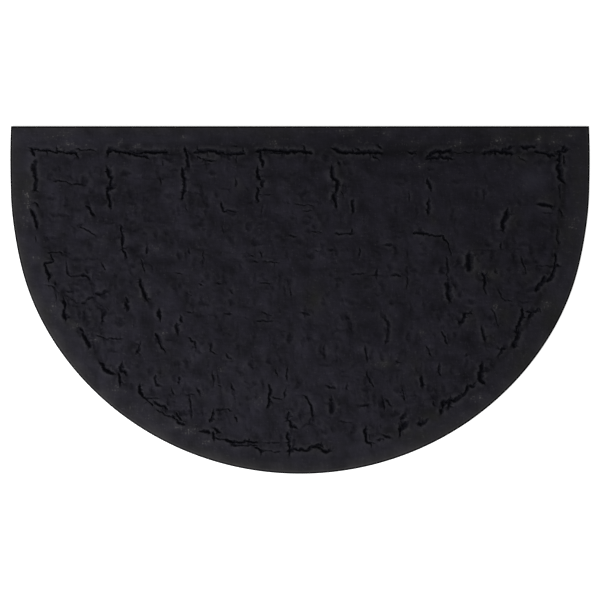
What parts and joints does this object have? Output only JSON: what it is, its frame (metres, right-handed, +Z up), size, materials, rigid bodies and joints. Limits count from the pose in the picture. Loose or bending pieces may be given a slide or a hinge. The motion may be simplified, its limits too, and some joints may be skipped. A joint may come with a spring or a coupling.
{
  "type": "doormat",
  "caption": "Half-round flat rubber doormat with one straight edge, a plain border and a creased, crumpled face.",
  "frame": {"origin": "middle of the mat's bounding box, on its flat underside where it meets the floor", "axes": "+X along the straight edge, +Y from the curve's middle towards the straight edge, +Z up out of the creased face"},
  "size_m": [0.75, 0.45, 0.008],
  "materials": {
    "rubber": "matt moulded black rubber"
  },
  "bodies": {
    "root": {"mat": "rubber"}
  },
  "joints": []
}
